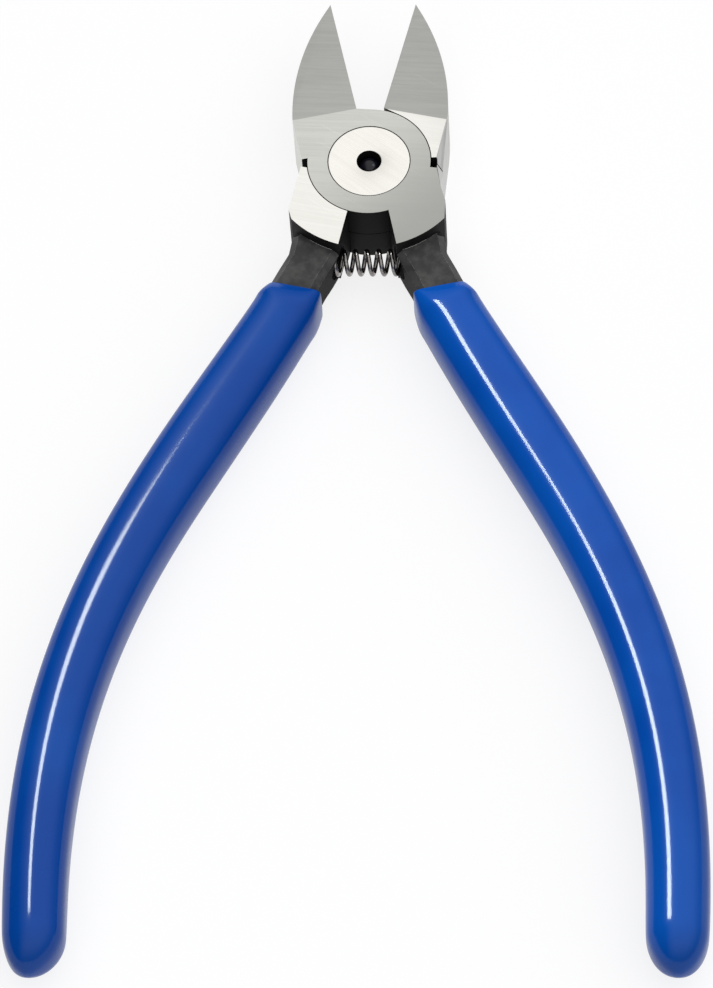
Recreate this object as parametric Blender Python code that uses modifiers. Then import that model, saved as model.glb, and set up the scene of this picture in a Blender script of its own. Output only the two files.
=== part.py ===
"""Flush cut pliers: two levers lapped on one pivot, a coil return spring and two dipped grips.

The pliers lie flat with the flush side of the blades up. +Y runs to the blade tips, +X to the
right and +Z up. The origin is on the pivot axis, on the back face of the head.

Each lever is modelled as it stands when the blades are closed, with its cutting edge on the
centreline, and its empty on the pivot axis turns it open. Lengths are in millimetres in this
file, and MM turns them into Blender's metres.
"""

import math

import bmesh
import bpy
from mathutils import Matrix, Vector

MM = 0.001

# Driving dimensions
OPEN_HALF_ANGLE = 12.0  # degrees that each lever stands open at rest
HEAD_THICKNESS = 9.4
TANG_THICKNESS = 6.0
GRIP_THICKNESS = 9.0
BLADE_TIP_Y = 24.6
GAP = 0.25  # running clearance between neighbouring pieces
MID_Z = HEAD_THICKNESS / 2

# Lap joint
LAP_RADIUS = 7.3
HEEL_RADIUS = 7.6  # where the two blades first meet, just above the lap discs
BOSS_RADIUS = 12.1
FLANK_X = 7.75
FLANK_FOOT = (7.15, -9.76)  # where the flank meets the boss arc
BULGED_FLANK_X = 8.5
BULGE_WAIST = (7.6, -5.2)
BULGE_ENDS_Y = -7.4
FLANK_ENDS_Y = -8.6
CROTCH_X = 0.94
NOTCH_RADIUS = 8.1
NOTCH_SHOULDER_ANGLE = -19.2  # degrees, lower wall of the notch on the shoulder's side
STOP_SHOULDER_ANGLE = -14.2
NOTCH_JAW_ANGLE = 164.6  # degrees, upper wall of the notch on the jaw's side
STOP_JAW_ANGLE = 168.2
ARC_STEP = 5.0  # degrees between the points of an arc
CUT_OVERRUN = 1.0  # how far a cutter reaches past the faces it cuts

# Jaws
JAW_HALF_WIDTH = 8.2  # of the arc of the jaw's back, at its widest
JAW_WIDEST_Y = 2.5
JAW_BASE_Y = 7.6
JAW_BACK_STEPS = 14
EDGE_GAP = 0.05  # from the cutting edge to the centreline
TIP_FLAT = 0.35
FACET_Y = 7.35  # where the blade's front facet starts
TIP_FRONT_DROP = 2.4
BACK_FACET_Y = 8.6
TIP_BACK_RISE = 4.0
EDGE_LAND = 0.3
EDGE_BEVEL_ANGLE = 24.0
EDGE_BEVEL_START_Y = 9.4

# Sloping strip down the outer front edge of the right flank
STRIP_TOP_X = 7.7
STRIP_DEPTH = 3.5
STRIP_WIDTH = 1.25

# Pivot
DISC_RADIUS = 4.85
DISC_THICKNESS = 1.6
DISC_GAP = 0.15
SHANK_RADIUS = 3.0
BORE_RADIUS = 3.2
PIN_RADIUS = 1.25
PIN_BORE_RADIUS = 1.45
PIN_TOP_Z = 8.9
PIN_DOME = 0.95
PIN_DOME_STEPS = 6
TURNED_STEPS = 48
TURNED_WELD = 0.01

# Tang between the shoulder and the grip: corners down its outside, and up its inside
TANG_OUTER = ((5.2, -6.5), (6.85, -10.8), (6.75, -13.2), (7.35, -15.4))
TANG_INNER = ((1.95, -15.8), (1.4, -13.9), (0.94, -12.0), (0.94, -10.8), (1.6, -8.5))
TANG_EDGE_BEVEL = 0.6

# Return spring
SPRING_Y = -11.3
SPRING_HALF_LENGTH = 5.5
SPRING_RADIUS = 1.38  # to the middle of the wire
SPRING_WIRE_RADIUS = 0.28
SPRING_TURNS = 8
SPRING_STEPS_PER_TURN = 12
SPRING_WIRE_ROUNDING = 2
POCKET_RADIUS = 2.05
POCKET_END_X = 6.0

# Handles: one cubic curve down the middle of each handle, from just above the grip's mouth
SPINE = tuple(Vector(corner) for corner in ((4.8, -17.3), (12.2, -46.2), (25.7, -67.3), (12.7, -110.1)))
MOUTH_Y = -17.8
SPINE_STEPS = 22
MOUTH_WIDTH = 7.5
WIDEST_GRIP = 8.4
WIDEST_AT = 0.3
END_WIDTH = 7.1
END_DOME = 5.2
END_DOME_STEPS = 8
DOME_STARTS_AT = 0.953
MOUTH_WALL = 0.6
GRIP_WALL = 1.2
WALL_GROWS_UNTIL = 0.15
CORE_STARTS_AT = 0.06
CORE_ENDS_AT = 0.93
CORE_END_DOME = 2.0
GRIP_EDGE_RADIUS = 3.4
GRIP_BEVEL_STEPS = 3
MOUTH_OVERRUN = 5.0

FAR = 60.0  # a length that reaches past any cut in the head
WELD = 0.002  # vertices nearer than this are one

# Colour, roughness and metallic value of each finish
FINISHES = {
    "ground_steel": ((0.42, 0.42, 0.41), 0.38, 1.0),
    "polished_steel": ((0.80, 0.79, 0.76), 0.22, 1.0),
    "black_oxide": ((0.015, 0.015, 0.018), 0.35, 0.6),
    "spring_steel": ((0.30, 0.29, 0.28), 0.25, 1.0),
    "blue_vinyl": ((0.001, 0.050, 0.290), 0.25, 0.0),
}

# Each lever's name, the side of its handle, and its grip's name
LEVERS = (("front_lever", 1, "right_grip"), ("rear_lever", -1, "left_grip"))


def clear_scene():
    """Remove every object that the file starts with."""
    for obj in list(bpy.data.objects):
        bpy.data.objects.remove(obj)


def new_collection(name):
    """Make a collection in the scene."""
    made = bpy.data.collections.new(name)
    bpy.context.scene.collection.children.link(made)
    return made


def make_material(name, colour, roughness, metallic):
    """A Principled material of one colour."""
    material = bpy.data.materials.new(name)
    material.use_nodes = True
    shader = material.node_tree.nodes["Principled BSDF"]
    shader.inputs["Base Color"].default_value = (*colour, 1.0)
    shader.inputs["Roughness"].default_value = roughness
    shader.inputs["Metallic"].default_value = metallic
    return material


def polar(radius, degrees):
    """The point at this radius and angle from the pivot."""
    angle = math.radians(degrees)
    return Vector((radius * math.cos(angle), radius * math.sin(angle)))


def arc(radius, start, end):
    """Points along an arc about the pivot, from start to end in degrees."""
    count = max(2, round(abs(end - start) / ARC_STEP))
    return [polar(radius, start + (end - start) * k / count) for k in range(count + 1)]


def tangent_angle(radius, apex_radius):
    """Angle where the line from (0, apex_radius) touches a circle about the pivot, at +X."""
    return 90.0 - math.degrees(math.acos(radius / apex_radius))


def link_mesh(mesh_builder, name, collection):
    """Turn a finished bmesh into an object of the collection."""
    mesh = bpy.data.meshes.new(name)
    mesh_builder.to_mesh(mesh)
    mesh_builder.free()
    obj = bpy.data.objects.new(name, mesh)
    collection.objects.link(obj)
    return obj


def curve_to_mesh(curve_object, collection):
    """Replace a curve object by its closed mesh, with the caps welded."""
    graph = bpy.context.evaluated_depsgraph_get()
    graph.update()
    name = curve_object.name
    place = curve_object.matrix_world.copy()
    mesh = bpy.data.meshes.new_from_object(curve_object.evaluated_get(graph))
    curve = curve_object.data
    bpy.data.objects.remove(curve_object)
    bpy.data.curves.remove(curve)
    builder = bmesh.new()
    builder.from_mesh(mesh)
    bmesh.ops.remove_doubles(builder, verts=builder.verts, dist=WELD * MM)
    bmesh.ops.recalc_face_normals(builder, faces=builder.faces)
    builder.to_mesh(mesh)
    builder.free()
    obj = bpy.data.objects.new(name, mesh)
    obj.matrix_world = place
    collection.objects.link(obj)
    return obj


def plate(name, outline, low_z, high_z, collection, edge_radius=0.0, edge_steps=0):
    """A flat outline given thickness from low_z to high_z, its edges rounded in 1 + edge_steps."""
    curve = bpy.data.curves.new(name, "CURVE")
    curve.dimensions = "2D"
    curve.fill_mode = "BOTH"
    curve.extrude = ((high_z - low_z) / 2 - edge_radius) * MM
    curve.bevel_depth = edge_radius * MM
    curve.bevel_resolution = edge_steps
    curve.offset = -edge_radius * MM
    spline = curve.splines.new("POLY")
    spline.points.add(len(outline) - 1)
    spline.use_cyclic_u = True
    for point, place in zip(spline.points, outline):
        point.co = (place.x * MM, place.y * MM, 0.0, 1.0)
    obj = bpy.data.objects.new(name, curve)
    obj.location.z = (low_z + high_z) / 2 * MM
    collection.objects.link(obj)
    bpy.context.view_layer.update()
    return curve_to_mesh(obj, collection)


def mark_cutter(obj):
    """Keep a helper out of the render."""
    obj.hide_render = True
    obj.display_type = "WIRE"
    return obj


def half_space(name, point, normal, collection):
    """A large box that fills the space on the normal's side of a plane."""
    builder = bmesh.new()
    bmesh.ops.create_cube(builder, size=FAR * MM)
    bmesh.ops.translate(builder, verts=builder.verts, vec=(0.0, 0.0, FAR / 2 * MM))
    turn = Vector(normal).to_track_quat("Z", "Y").to_matrix().to_4x4()
    place = Matrix.Translation(Vector(point) * MM) @ turn
    bmesh.ops.transform(builder, matrix=place, verts=builder.verts)
    return mark_cutter(link_mesh(builder, name, collection))


def cylinder(name, radius, low, high, axis, collection):
    """A cylinder from low to high along an axis, 'X' or 'Z', about the origin."""
    builder = bmesh.new()
    bmesh.ops.create_cone(
        builder,
        cap_ends=True,
        segments=TURNED_STEPS,
        radius1=radius * MM,
        radius2=radius * MM,
        depth=(high - low) * MM,
    )
    bmesh.ops.translate(builder, verts=builder.verts, vec=(0.0, 0.0, (low + high) / 2 * MM))
    if axis == "X":
        turn = Matrix.Rotation(math.radians(90.0), 3, "Y")
        bmesh.ops.rotate(builder, matrix=turn, verts=builder.verts)
    return mark_cutter(link_mesh(builder, name, collection))


def combine(target, other, operation):
    """Add a Boolean of the other object to the target."""
    modifier = target.modifiers.new(f"{operation.lower()} {other.name}", "BOOLEAN")
    modifier.operation = operation
    modifier.object = other
    modifier.solver = "EXACT"


def mirrored(outline):
    """The outline mirrored in the centreline."""
    return [Vector((-point.x, point.y)) for point in outline]


def jaw_back():
    """Points up the arc of the left jaw's back, from its base to the tip's flat."""
    rise = BLADE_TIP_Y - JAW_WIDEST_Y
    radius = (JAW_HALF_WIDTH**2 + rise**2) / (2 * JAW_HALF_WIDTH)
    centre = Vector((radius - JAW_HALF_WIDTH, JAW_WIDEST_Y))
    start = math.asin((JAW_BASE_Y - JAW_WIDEST_Y) / radius)
    end = math.acos((centre.x + TIP_FLAT) / radius)
    angles = [start + (end - start) * k / JAW_BACK_STEPS for k in range(JAW_BACK_STEPS + 1)]
    return [centre + radius * Vector((-math.cos(a), math.sin(a))) for a in angles]


def shoulder_side(bulged):
    """Points down the outside of the right shoulder, from the notch to the boss arc."""
    start = polar(LAP_RADIUS, NOTCH_SHOULDER_ANGLE)
    if bulged:
        stop_y = BULGED_FLANK_X * math.tan(math.radians(STOP_SHOULDER_ANGLE))
        return [
            polar(NOTCH_RADIUS, NOTCH_SHOULDER_ANGLE),
            polar(NOTCH_RADIUS, STOP_SHOULDER_ANGLE),
            Vector((BULGED_FLANK_X, stop_y)),
            Vector(BULGE_WAIST),
            Vector((FLANK_X, BULGE_ENDS_Y)),
            Vector(FLANK_FOOT),
        ]
    return [Vector((FLANK_X, start.y)), Vector((FLANK_X, FLANK_ENDS_Y)), Vector(FLANK_FOOT)]


def jaw_side(bulged):
    """Points up the outside of the left jaw's base, from the notch to the jaw's back."""
    start = polar(LAP_RADIUS, NOTCH_JAW_ANGLE)
    if bulged:
        stop_y = -BULGED_FLANK_X * math.tan(math.radians(STOP_JAW_ANGLE))
        return [
            polar(NOTCH_RADIUS, NOTCH_JAW_ANGLE),
            polar(NOTCH_RADIUS, STOP_JAW_ANGLE),
            Vector((-BULGED_FLANK_X, stop_y)),
        ]
    return [Vector((-FLANK_X, start.y))]


def head_outline(bulged_jaw, bulged_shoulder):
    """Outline of a lever's head, with its jaw to the left and its shoulder to the right."""
    boss_end = -math.degrees(math.acos(CROTCH_X / BOSS_RADIUS))
    crotch = -math.degrees(math.acos(CROTCH_X / LAP_RADIUS))
    boss_start = math.degrees(math.atan2(FLANK_FOOT[1], FLANK_FOOT[0]))
    outline = [Vector((-EDGE_GAP, BLADE_TIP_Y)), Vector((-EDGE_GAP, HEEL_RADIUS))]
    outline += arc(LAP_RADIUS, tangent_angle(LAP_RADIUS, HEEL_RADIUS), NOTCH_SHOULDER_ANGLE)
    outline += shoulder_side(bulged_shoulder)
    outline += arc(BOSS_RADIUS, boss_start, boss_end)[1:]
    outline += arc(LAP_RADIUS, crotch, NOTCH_JAW_ANGLE - 360.0)
    outline += jaw_side(bulged_jaw)
    outline += jaw_back()
    return outline


def lap_cut_outline():
    """Outline of the room that a lever leaves for the other lever's lap disc and heel."""
    radius = LAP_RADIUS + GAP
    apex = HEEL_RADIUS + GAP
    touch = tangent_angle(radius, apex)
    return [Vector((0.0, apex)), *arc(radius, touch, -180.0 - touch)]


def spine_point(t):
    """The point on the handle's middle curve, for t from 0 at the mouth to 1 at the end."""
    a, b, c, d = SPINE
    u = 1.0 - t
    return u**3 * a + 3 * u * u * t * b + 3 * u * t * t * c + t**3 * d


def spine_normal(t):
    """The unit direction across the handle at t, pointing outwards."""
    a, b, c, d = SPINE
    u = 1.0 - t
    along = u * u * (b - a) + 2 * u * t * (c - b) + t * t * (d - c)
    return Vector((-along.y, along.x)).normalized()


def grip_half_width(t):
    """Half of the grip's width at t."""
    if t < WIDEST_AT:
        short = (WIDEST_AT - t) / WIDEST_AT
        return (WIDEST_GRIP - (WIDEST_GRIP - MOUTH_WIDTH) * short**2) / 2
    return (WIDEST_GRIP - (WIDEST_GRIP - END_WIDTH) * (t - WIDEST_AT) / (1 - WIDEST_AT)) / 2


def grip_wall(t):
    """Thickness of the grip's wall at t."""
    grown = min(t / WALL_GROWS_UNTIL, 1.0)
    return MOUTH_WALL + (GRIP_WALL - MOUTH_WALL) * grown


def core_half_width(t):
    """Half of the width of the steel inside the grip at t."""
    return grip_half_width(t) - grip_wall(t) - GAP


def along_handle(start, end, half_width):
    """Outer and inner sides of the handle between two values of t, each from the head down."""
    places = [start + (end - start) * k / SPINE_STEPS for k in range(SPINE_STEPS + 1)]
    outer = [spine_point(t) + spine_normal(t) * half_width(t) for t in places]
    inner = [spine_point(t) - spine_normal(t) * half_width(t) for t in places]
    return outer, inner


def end_dome(t, half_width, length):
    """Points round a domed end at t, from the outer side to the inner one."""
    across = spine_normal(t)
    along = Vector((across.y, -across.x))
    turns = [math.pi * k / END_DOME_STEPS for k in range(1, END_DOME_STEPS)]
    return [
        spine_point(t) + across * half_width * math.cos(a) + along * length * math.sin(a)
        for a in turns
    ]


def tang_outline():
    """Outline of the thinner steel from the shoulder to the far end of the handle's core."""
    outer, inner = along_handle(CORE_STARTS_AT, CORE_ENDS_AT, core_half_width)
    neck_outer = [Vector(corner) for corner in TANG_OUTER]
    neck_inner = [Vector(corner) for corner in TANG_INNER]
    end = end_dome(CORE_ENDS_AT, core_half_width(CORE_ENDS_AT), CORE_END_DOME)
    return neck_outer + outer + end + inner[::-1] + neck_inner


def grip_outline():
    """Outer outline of a grip, started a little above the mouth so that the mouth can be cut."""
    outer, inner = along_handle(0.0, DOME_STARTS_AT, grip_half_width)
    dome = end_dome(DOME_STARTS_AT, grip_half_width(1.0), END_DOME)
    across = spine_normal(0.0)
    back = Vector((-across.y, across.x)) * MOUTH_OVERRUN
    return [outer[0] + back] + outer + dome + inner[::-1] + [inner[0] + back]


def pocket_outline():
    """Outline of the pocket in a grip that holds the handle's core."""
    def pocket_half_width(t):
        return core_half_width(t) + GAP

    outer, inner = along_handle(0.0, CORE_ENDS_AT, pocket_half_width)
    end = end_dome(CORE_ENDS_AT, pocket_half_width(CORE_ENDS_AT), CORE_END_DOME + GAP)
    across = spine_normal(0.0)
    back = Vector((-across.y, across.x)) * 2 * MOUTH_OVERRUN
    return [outer[0] + back] + outer + end + inner[::-1] + [inner[0] + back]


def lever_empty(name, degrees, collection):
    """An empty on the pivot axis, turned to where its lever stands at rest."""
    empty = bpy.data.objects.new(name, None)
    empty.rotation_euler.z = math.radians(degrees)
    collection.objects.link(empty)
    return empty


def edge_bevel_cutter(name, side, cutters):
    """The ground bevel behind the cutting edge: a half space, kept clear of the heel."""
    tip_front = HEAD_THICKNESS - TIP_FRONT_DROP
    slope = TIP_FRONT_DROP / (BLADE_TIP_Y - FACET_Y)
    angle = math.radians(EDGE_BEVEL_ANGLE)
    edge_line = Vector((0.0, 1.0, -slope))
    down_face = Vector((-math.sin(angle), 0.0, -math.cos(angle)))
    normal = down_face.cross(edge_line)
    if side == -1:
        normal.x = -normal.x
    if normal.z > 0:
        normal = -normal
    point = (-EDGE_GAP * side, BLADE_TIP_Y, tip_front - EDGE_LAND)
    cutter = half_space(f"{name}_edge_bevel", point, normal, cutters)
    keep_point, keep_normal = (0.0, EDGE_BEVEL_START_Y, 0.0), (0.0, -1.0, 0.0)
    keep = half_space(f"{name}_edge_bevel_end", keep_point, keep_normal, cutters)
    combine(cutter, keep, "DIFFERENCE")
    return cutter


def grind_head(lever, name, side, cutters):
    """Grind the front and back facets of the blade, the edge's bevel and the right flank's strip."""
    blade_length = BLADE_TIP_Y - FACET_Y
    front_normal = (0.0, TIP_FRONT_DROP, blade_length)
    front = half_space(f"{name}_front_facet", (0.0, FACET_Y, HEAD_THICKNESS), front_normal, cutters)
    combine(lever, front, "DIFFERENCE")
    back_normal = (0.0, TIP_BACK_RISE, -(BLADE_TIP_Y - BACK_FACET_Y))
    back = half_space(f"{name}_back_facet", (0.0, BACK_FACET_Y, 0.0), back_normal, cutters)
    combine(lever, back, "DIFFERENCE")
    combine(lever, edge_bevel_cutter(name, side, cutters), "DIFFERENCE")
    strip_point = (STRIP_TOP_X, 0.0, HEAD_THICKNESS)
    strip_normal = (STRIP_DEPTH, 0.0, STRIP_WIDTH)
    strip = half_space(f"{name}_flank_strip", strip_point, strip_normal, cutters)
    combine(lever, strip, "DIFFERENCE")


def add_tang(lever, name, side, cutters):
    """Join the thinner steel that runs from the shoulder through the grip."""
    outline = tang_outline() if side == 1 else mirrored(tang_outline())
    half = TANG_THICKNESS / 2
    tang = plate(f"{name}_tang_body", outline, MID_Z - half, MID_Z + half, cutters, TANG_EDGE_BEVEL)
    combine(lever, mark_cutter(tang), "UNION")


def cut_lap(lever, name, side, cutters):
    """Leave room for the other lever's lap disc, behind a front lever or before a rear one."""
    if side == 1:
        outline, low, high = lap_cut_outline(), -CUT_OVERRUN, MID_Z + GAP / 2
    else:
        outline, low, high = mirrored(lap_cut_outline()), MID_Z - GAP / 2, HEAD_THICKNESS + CUT_OVERRUN
    lap = plate(f"{name}_lap_cut", outline, low, high, cutters)
    combine(lever, mark_cutter(lap), "DIFFERENCE")


def bore_pivot(lever, name, side, cutters):
    """Bore the pivot's hole, and the seat of the disc on the lever's own face."""
    above = HEAD_THICKNESS + CUT_OVERRUN
    bore = cylinder(f"{name}_bore", BORE_RADIUS, -CUT_OVERRUN, above, "Z", cutters)
    combine(lever, bore, "DIFFERENCE")
    seat_depth = DISC_THICKNESS + DISC_GAP
    low, high = (HEAD_THICKNESS - seat_depth, above) if side == 1 else (-CUT_OVERRUN, seat_depth)
    seat = cylinder(f"{name}_disc_seat", DISC_RADIUS + DISC_GAP, low, high, "Z", cutters)
    combine(lever, seat, "DIFFERENCE")


def drill_spring_pocket(lever, name, side, cutters):
    """Drill the pocket of one end of the spring, level with the centreline when open."""
    pocket = cylinder(f"{name}_spring_pocket", POCKET_RADIUS, 0.0, POCKET_END_X, "X", cutters)
    to_closed = Matrix.Rotation(math.radians(-OPEN_HALF_ANGLE * side), 4, "Z")
    outwards = Matrix.Rotation(math.pi, 4, "Z") if side == -1 else Matrix()
    place = Matrix.Translation((0.0, SPRING_Y * MM, MID_Z * MM))
    pocket.matrix_world = to_closed @ place @ outwards
    combine(lever, pocket, "DIFFERENCE")


def build_lever(name, side, parts, cutters, steel):
    """One lever: jaw, half-lap disc, shoulder and tang. Side 1 has its lap disc in front."""
    in_front = side == 1
    outline = head_outline(bulged_jaw=not in_front, bulged_shoulder=in_front)
    if not in_front:
        outline = mirrored(outline)
    lever = plate(name, outline, 0.0, HEAD_THICKNESS, parts)
    grind_head(lever, name, side, cutters)
    add_tang(lever, name, side, cutters)
    cut_lap(lever, name, side, cutters)
    bore_pivot(lever, name, side, cutters)
    drill_spring_pocket(lever, name, side, cutters)
    lever.data.materials.append(steel)
    return lever


def turned(name, profile, collection, material):
    """A turned piece: its profile, listed from the top down its outer side, spun about Z."""
    builder = bmesh.new()
    corners = [builder.verts.new((r * MM, 0.0, z * MM)) for r, z in profile]
    for first, second in zip(corners, corners[1:]):
        builder.edges.new((first, second))
    if profile[0][0] > 0.0:
        builder.edges.new((corners[-1], corners[0]))
    piece = link_mesh(builder, name, collection)
    screw = piece.modifiers.new("turn", "SCREW")
    screw.axis = "Z"
    screw.steps = TURNED_STEPS
    screw.render_steps = TURNED_STEPS
    screw.use_merge_vertices = True
    screw.merge_threshold = TURNED_WELD * MM
    piece.data.materials.append(material)
    return piece


def build_pivot(parts, bright_steel, black_steel):
    """The front disc with its sleeve, the back disc, and the domed pin that ties them."""
    back_top = DISC_THICKNESS
    sleeve_low = back_top + DISC_GAP
    head_low = HEAD_THICKNESS - DISC_THICKNESS
    front_disc = [
        (PIN_BORE_RADIUS, HEAD_THICKNESS),
        (DISC_RADIUS, HEAD_THICKNESS),
        (DISC_RADIUS, head_low),
        (SHANK_RADIUS, head_low),
        (SHANK_RADIUS, sleeve_low),
        (PIN_BORE_RADIUS, sleeve_low),
    ]
    back_disc = [
        (PIN_BORE_RADIUS, back_top),
        (DISC_RADIUS, back_top),
        (DISC_RADIUS, 0.0),
        (PIN_BORE_RADIUS, 0.0),
    ]
    turns = [math.pi / 2 * k / PIN_DOME_STEPS for k in range(PIN_DOME_STEPS + 1)]
    dome = [(PIN_RADIUS * math.sin(a), PIN_TOP_Z - PIN_DOME * (1.0 - math.cos(a))) for a in turns]
    pin = [*dome, (PIN_RADIUS, 0.0), (0.0, 0.0)]
    turned("pivot_disc", front_disc, parts, bright_steel)
    turned("pivot_back_disc", back_disc, parts, bright_steel)
    turned("pivot_pin", pin, parts, black_steel)


def build_spring(parts, wire_steel):
    """The compression coil between the tangs, on an axis along X."""
    curve = bpy.data.curves.new("return_spring", "CURVE")
    curve.dimensions = "3D"
    curve.bevel_depth = SPRING_WIRE_RADIUS * MM
    curve.bevel_resolution = SPRING_WIRE_ROUNDING
    curve.use_fill_caps = True
    count = SPRING_TURNS * SPRING_STEPS_PER_TURN
    spline = curve.splines.new("POLY")
    spline.points.add(count)
    for k, point in enumerate(spline.points):
        angle = 2.0 * math.pi * k / SPRING_STEPS_PER_TURN
        x = SPRING_HALF_LENGTH * (2.0 * k / count - 1.0)
        y = SPRING_Y + SPRING_RADIUS * math.cos(angle)
        z = MID_Z + SPRING_RADIUS * math.sin(angle)
        point.co = (x * MM, y * MM, z * MM, 1.0)
    spring = bpy.data.objects.new("return_spring", curve)
    parts.objects.link(spring)
    spring.data.materials.append(wire_steel)


def build_grip(name, side, parts, cutters, vinyl):
    """A dipped grip: rounded outside, a flat-cut mouth, and a pocket for the core."""
    outer, pocket = grip_outline(), pocket_outline()
    if side == -1:
        outer, pocket = mirrored(outer), mirrored(pocket)
    half = GRIP_THICKNESS / 2
    grip = plate(name, outer, MID_Z - half, MID_Z + half, parts, GRIP_EDGE_RADIUS, GRIP_BEVEL_STEPS)
    half_pocket = TANG_THICKNESS / 2 + GAP
    pocket_body = plate(f"{name}_pocket", pocket, MID_Z - half_pocket, MID_Z + half_pocket, cutters)
    combine(grip, mark_cutter(pocket_body), "DIFFERENCE")
    mouth = half_space(f"{name}_mouth", (0.0, MOUTH_Y, 0.0), (0.0, 1.0, 0.0), cutters)
    combine(grip, mouth, "DIFFERENCE")
    grip.data.materials.append(vinyl)
    return grip


def main():
    """Build the whole object from an empty scene."""
    clear_scene()
    parts = new_collection("flush_cut_pliers")
    cutters = new_collection("cutters")
    finishes = {name: make_material(name, *values) for name, values in FINISHES.items()}
    for name, side, grip_name in LEVERS:
        empty = lever_empty(f"{name}_pivot", OPEN_HALF_ANGLE * side, parts)
        build_lever(name, side, parts, cutters, finishes["ground_steel"]).parent = empty
        build_grip(grip_name, side, parts, cutters, finishes["blue_vinyl"]).parent = empty
        own_cutters = [obj for obj in cutters.objects if obj.name.startswith((name, grip_name))]
        for cutter in own_cutters:
            cutter.parent = empty
    build_pivot(parts, finishes["polished_steel"], finishes["black_oxide"])
    build_spring(parts, finishes["spring_steel"])


main()
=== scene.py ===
"""Looks of the flush cut pliers: ground and blackened levers, a riveted pivot, a coil spring
and two dipped vinyl grips, on a pale studio floor.

The pliers lie on their back with +Y to the blade tips and +X to the right. The pivot is the
Z axis. Every size below is in millimetres unless its name says otherwise, and MM turns it
into Blender's metres. A lever and its grip are modelled as they stand when the blades are
closed, with the jaw left of the centreline and the handle right of it. The front lever is
then only turned open, and the rear lever is mirrored first.
"""

import functools
import logging
import math
from contextlib import contextmanager
from dataclasses import dataclass, field
from enum import Enum, IntEnum
from typing import Any, Callable, Iterator, Sequence

import bmesh
import bpy
from mathutils import Matrix, Vector


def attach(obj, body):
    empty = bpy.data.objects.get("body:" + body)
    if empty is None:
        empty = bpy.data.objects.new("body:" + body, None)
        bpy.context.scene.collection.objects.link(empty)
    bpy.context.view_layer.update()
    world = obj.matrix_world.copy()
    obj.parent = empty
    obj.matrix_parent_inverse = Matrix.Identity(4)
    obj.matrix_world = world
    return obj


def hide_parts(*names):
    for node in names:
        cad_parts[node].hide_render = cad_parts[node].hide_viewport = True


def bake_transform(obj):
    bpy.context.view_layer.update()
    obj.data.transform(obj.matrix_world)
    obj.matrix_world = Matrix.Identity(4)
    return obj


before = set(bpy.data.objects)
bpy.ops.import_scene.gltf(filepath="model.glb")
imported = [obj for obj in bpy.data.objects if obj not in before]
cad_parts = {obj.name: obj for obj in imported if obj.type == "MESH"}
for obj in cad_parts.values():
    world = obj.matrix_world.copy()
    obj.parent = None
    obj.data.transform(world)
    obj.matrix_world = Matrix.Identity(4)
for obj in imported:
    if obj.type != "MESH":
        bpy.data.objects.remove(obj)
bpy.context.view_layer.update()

MM = 0.001

log = logging.getLogger("pliers")

Pair = tuple[float, float]
Triple = tuple[float, float, float]
Owner = bpy.types.Material | bpy.types.World
Test = Callable[[Vector, Vector], bool]
ORIGIN = (0.0, 0.0, 0.0)
WHITE = (1.0, 1.0, 1.0)
UNSCALED = (1.0, 1.0, 1.0)


class Side(Enum):
    """Which lever a piece belongs to. The value is the sign of its handle's X."""

    FRONT = 1
    REAR = -1


class Steel(IntEnum):
    """Material slots of a lever, in order."""

    GROUND = 0
    BLADE = 1
    FLANK = 2
    OXIDE = 3
    # painted shade: the oxide painted near black on walls, recesses and holes that stand in shade
    RECESS = 4
    # bare steel where the oxide is rubbed off the edges, and a painted highlight on the boss's foot
    WORN = 5


# ---- shader graphs


class Value:
    """A socket of a shader graph that Python operators can work on."""

    def __init__(self, graph: "Graph", socket: bpy.types.NodeSocket) -> None:
        """Wrap one output socket of the graph."""
        self.graph = graph
        self.socket = socket

    def __add__(self, other: "Value | float") -> "Value":
        """Sum of two values."""
        return self.graph.math("ADD", self, other)

    __radd__ = __add__

    def __sub__(self, other: "Value | float") -> "Value":
        """Difference of two values."""
        return self.graph.math("SUBTRACT", self, other)

    def __rsub__(self, other: float) -> "Value":
        """Difference with a plain number first."""
        return self.graph.math("SUBTRACT", other, self)

    def __mul__(self, other: "Value | float") -> "Value":
        """Product of two values."""
        return self.graph.math("MULTIPLY", self, other)

    __rmul__ = __mul__

    def between(self, low: float, high: float, least: float = 0.0, most: float = 1.0) -> "Value":
        """A smooth step from least at low to most at high."""
        inputs = {"Value": self, "From Min": low, "From Max": high, "To Min": least, "To Max": most}
        return self.graph.node("ShaderNodeMapRange", {"interpolation_type": "SMOOTHSTEP"}, inputs)


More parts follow.
